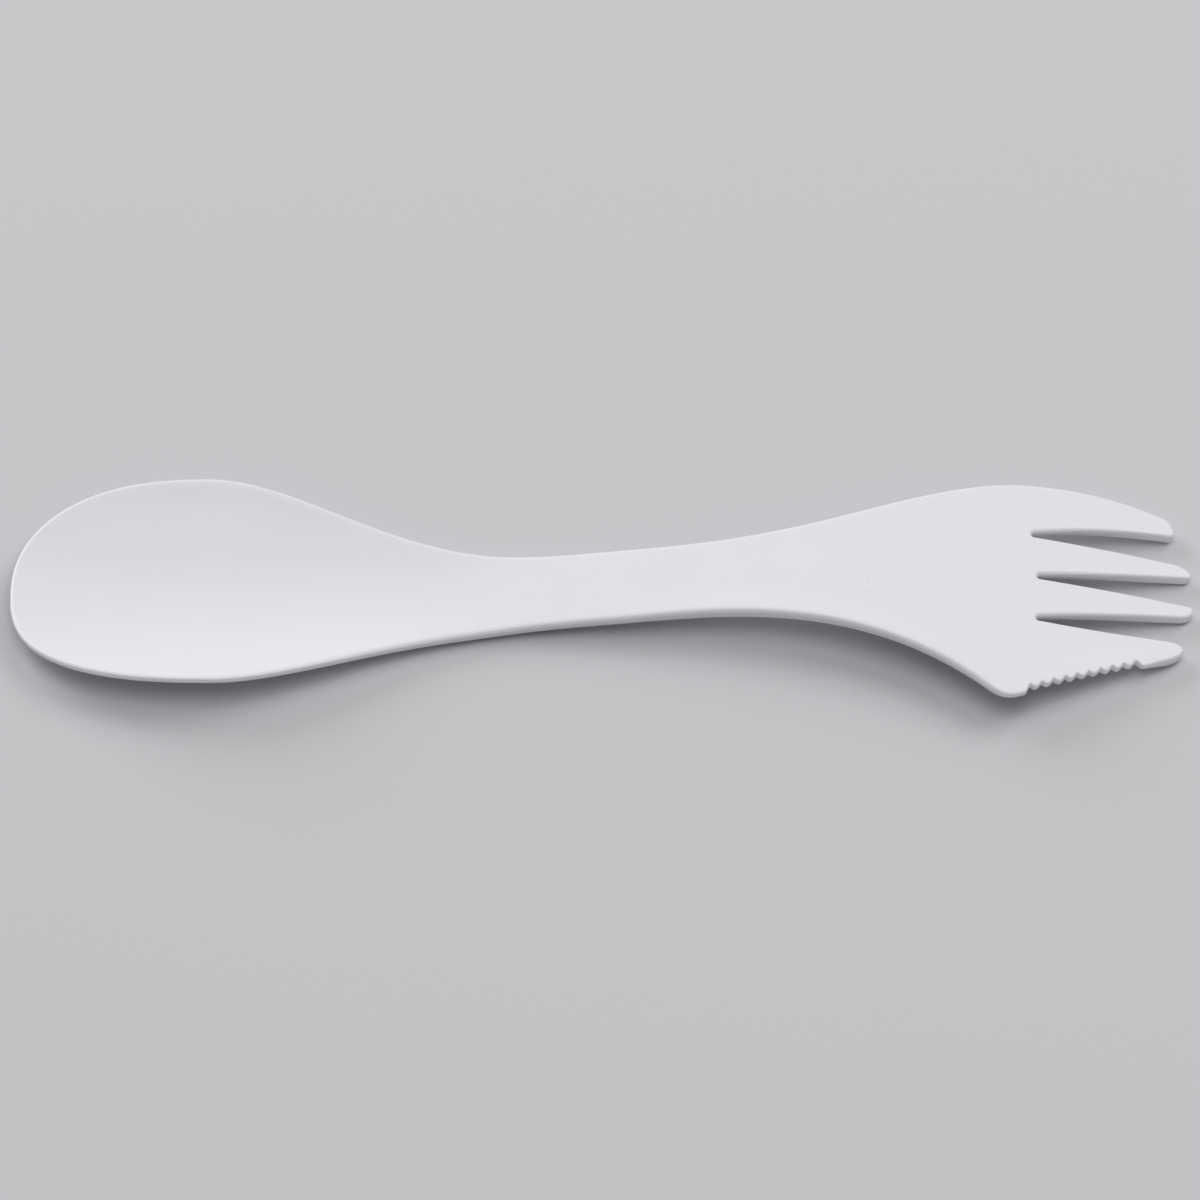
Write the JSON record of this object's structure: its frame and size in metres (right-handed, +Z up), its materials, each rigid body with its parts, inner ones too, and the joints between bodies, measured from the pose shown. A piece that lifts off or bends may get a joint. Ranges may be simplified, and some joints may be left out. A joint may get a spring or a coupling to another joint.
{
  "type": "spork",
  "caption": "Moulded plastic eating utensil: a spoon bowl at one end, a tined fork at the other, with a serrated knife edge on the outer tine.",
  "frame": {"origin": "middle of the outline's bounding box, at the height of the table on which the bowl and the tine tips rest", "axes": "+X along the spork from the spoon tip to the fork tips, +Y toward the plain side so that the serrated knife edge faces -Y, +Z up with the bowl hollow upward"},
  "size_m": [0.1702, 0.0416, 0.0078],
  "materials": {
    "white_plastic": "fine satin moulded polypropylene, white with a very slight cool tint"
  },
  "bodies": {
    "root": {"spork": "white_plastic"}
  },
  "joints": []
}
